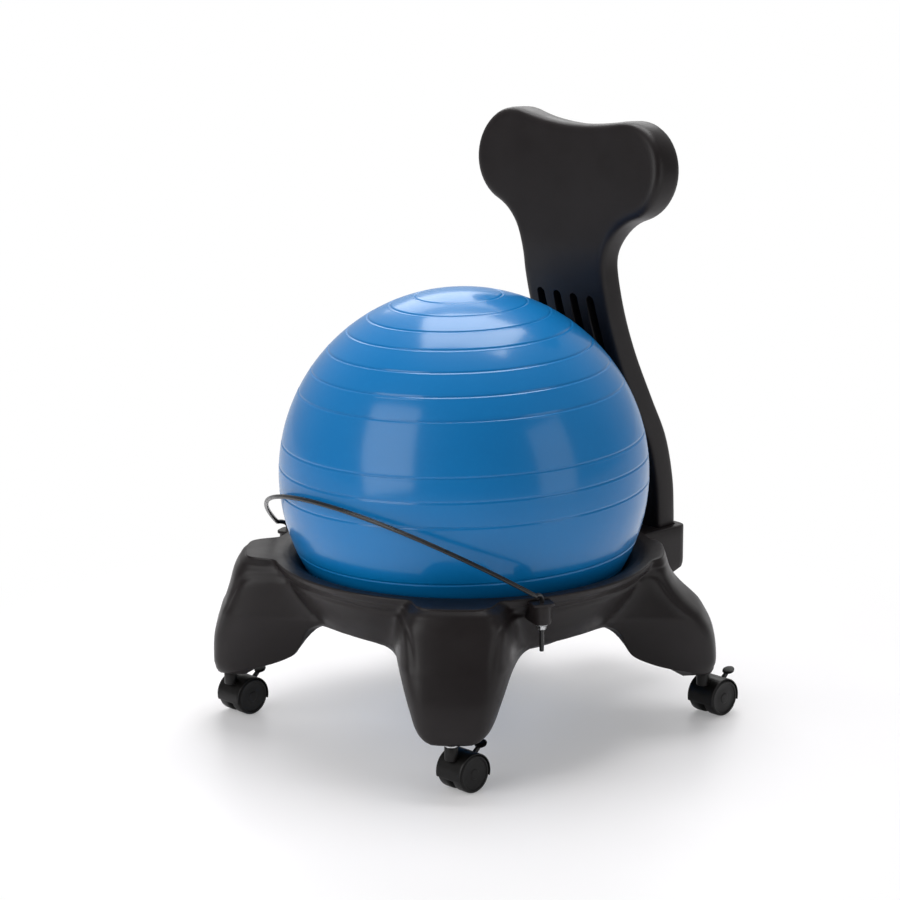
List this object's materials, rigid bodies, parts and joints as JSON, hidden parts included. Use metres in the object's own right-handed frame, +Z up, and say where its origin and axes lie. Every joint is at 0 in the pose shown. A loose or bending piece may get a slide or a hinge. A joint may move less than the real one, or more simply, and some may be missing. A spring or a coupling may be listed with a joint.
{
  "type": "balance ball chair",
  "caption": "Office chair with an inflated exercise ball as its seat, held in a moulded ring base on swivel casters, with a moulded backrest and a steel hoop round the front.",
  "frame": {"origin": "on the floor under the middle of the chair's outline", "axes": "+X to the sitter's left, +Y to the rear, so the sitter faces -Y, and +Z up"},
  "size_m": [0.538, 0.6302, 0.8075],
  "materials": {
    "black_shell": "fine satin grain",
    "ball_vinyl": "satin vinyl",
    "valve_plug": "satin",
    "caster_plastic": "satin",
    "caster_wheel": "satin",
    "black_rod": "satin coating",
    "zinc_steel": "bright zinc"
  },
  "bodies": {
    "chair": {"base_frame": "black_shell", "ball": "ball_vinyl", "ball_valve_plug": "valve_plug", "backrest": "black_shell", "hoop_rod": "black_rod", "backrest_bolt_left": "zinc_steel", "backrest_washer_left": "zinc_steel", "backrest_insert_left": "zinc_steel", "hoop_washer_left": "zinc_steel", "hoop_nut_left": "zinc_steel", "backrest_bolt_right": "zinc_steel", "backrest_washer_right": "zinc_steel", "backrest_insert_right": "zinc_steel", "hoop_washer_right": "zinc_steel", "hoop_nut_right": "zinc_steel", "caster_rear_left_sleeve": "caster_plastic", "caster_rear_right_sleeve": "caster_plastic", "caster_front_right_sleeve": "caster_plastic", "caster_front_left_sleeve": "caster_plastic"},
    "rear_left_swivel": {"caster_rear_left_stem": "zinc_steel", "caster_rear_left_grip_ring": "zinc_steel", "caster_rear_left_housing": "caster_plastic", "caster_rear_left_axle": "zinc_steel", "caster_rear_left_brake_pin": "zinc_steel"},
    "rear_left_wheel_left": {"caster_rear_left_wheel_left": "caster_wheel"},
    "rear_left_wheel_right": {"caster_rear_left_wheel_right": "caster_wheel"},
    "rear_left_pedal": {"caster_rear_left_brake_pedal": "caster_plastic"},
    "rear_right_swivel": {"caster_rear_right_stem": "zinc_steel", "caster_rear_right_grip_ring": "zinc_steel", "caster_rear_right_housing": "caster_plastic", "caster_rear_right_axle": "zinc_steel", "caster_rear_right_brake_pin": "zinc_steel"},
    "rear_right_wheel_left": {"caster_rear_right_wheel_left": "caster_wheel"},
    "rear_right_wheel_right": {"caster_rear_right_wheel_right": "caster_wheel"},
    "rear_right_pedal": {"caster_rear_right_brake_pedal": "caster_plastic"},
    "front_right_swivel": {"caster_front_right_stem": "zinc_steel", "caster_front_right_grip_ring": "zinc_steel", "caster_front_right_housing": "caster_plastic", "caster_front_right_axle": "zinc_steel", "caster_front_right_brake_pin": "zinc_steel"},
    "front_right_wheel_left": {"caster_front_right_wheel_left": "caster_wheel"},
    "front_right_wheel_right": {"caster_front_right_wheel_right": "caster_wheel"},
    "front_right_pedal": {"caster_front_right_brake_pedal": "caster_plastic"},
    "front_left_swivel": {"caster_front_left_stem": "zinc_steel", "caster_front_left_grip_ring": "zinc_steel", "caster_front_left_housing": "caster_plastic", "caster_front_left_axle": "zinc_steel", "caster_front_left_brake_pin": "zinc_steel"},
    "front_left_wheel_left": {"caster_front_left_wheel_left": "caster_wheel"},
    "front_left_wheel_right": {"caster_front_left_wheel_right": "caster_wheel"},
    "front_left_pedal": {"caster_front_left_brake_pedal": "caster_plastic"}
  },
  "joints": [
    {"name": "rear_left_swivel", "type": "hinge", "parent": "chair", "child": "rear_left_swivel", "pos_m": [0.23101, 0.18901, 0.06], "axis": [0, 0, 1], "continuous": true},
    {"name": "rear_left_wheel_left_spin", "type": "hinge", "parent": "rear_left_swivel", "child": "rear_left_wheel_left", "pos_m": [0.23101, 0.21001, 0.025], "axis": [1, 0, 0], "continuous": true},
    {"name": "rear_left_wheel_right_spin", "type": "hinge", "parent": "rear_left_swivel", "child": "rear_left_wheel_right", "pos_m": [0.23101, 0.21001, 0.025], "axis": [1, 0, 0], "continuous": true},
    {"name": "rear_left_brake", "type": "hinge", "parent": "rear_left_swivel", "child": "rear_left_pedal", "pos_m": [0.23101, 0.22201, 0.037], "axis": [-1, 0, 0], "range_deg": [0, 14]},
    {"name": "rear_right_swivel", "type": "hinge", "parent": "chair", "child": "rear_right_swivel", "pos_m": [-0.23101, 0.18901, 0.06], "axis": [0, 0, 1], "continuous": true},
    {"name": "rear_right_wheel_left_spin", "type": "hinge", "parent": "rear_right_swivel", "child": "rear_right_wheel_left", "pos_m": [-0.23101, 0.21001, 0.025], "axis": [1, 0, 0], "continuous": true},
    {"name": "rear_right_wheel_right_spin", "type": "hinge", "parent": "rear_right_swivel", "child": "rear_right_wheel_right", "pos_m": [-0.23101, 0.21001, 0.025], "axis": [1, 0, 0], "continuous": true},
    {"name": "rear_right_brake", "type": "hinge", "parent": "rear_right_swivel", "child": "rear_right_pedal", "pos_m": [-0.23101, 0.22201, 0.037], "axis": [-1, 0, 0], "range_deg": [0, 14]},
    {"name": "front_right_swivel", "type": "hinge", "parent": "chair", "child": "front_right_swivel", "pos_m": [-0.22, -0.27383, 0.06], "axis": [0, 0, 1], "continuous": true},
    {"name": "front_right_wheel_left_spin", "type": "hinge", "parent": "front_right_swivel", "child": "front_right_wheel_left", "pos_m": [-0.22, -0.25283, 0.025], "axis": [1, 0, 0], "continuous": true},
    {"name": "front_right_wheel_right_spin", "type": "hinge", "parent": "front_right_swivel", "child": "front_right_wheel_right", "pos_m": [-0.22, -0.25283, 0.025], "axis": [1, 0, 0], "continuous": true},
    {"name": "front_right_brake", "type": "hinge", "parent": "front_right_swivel", "child": "front_right_pedal", "pos_m": [-0.22, -0.24083, 0.037], "axis": [-1, 0, 0], "range_deg": [0, 14]},
    {"name": "front_left_swivel", "type": "hinge", "parent": "chair", "child": "front_left_swivel", "pos_m": [0.22, -0.27383, 0.06], "axis": [0, 0, 1], "continuous": true},
    {"name": "front_left_wheel_left_spin", "type": "hinge", "parent": "front_left_swivel", "child": "front_left_wheel_left", "pos_m": [0.22, -0.25283, 0.025], "axis": [1, 0, 0], "continuous": true},
    {"name": "front_left_wheel_right_spin", "type": "hinge", "parent": "front_left_swivel", "child": "front_left_wheel_right", "pos_m": [0.22, -0.25283, 0.025], "axis": [1, 0, 0], "continuous": true},
    {"name": "front_left_brake", "type": "hinge", "parent": "front_left_swivel", "child": "front_left_pedal", "pos_m": [0.22, -0.24083, 0.037], "axis": [-1, 0, 0], "range_deg": [0, 14]}
  ]
}
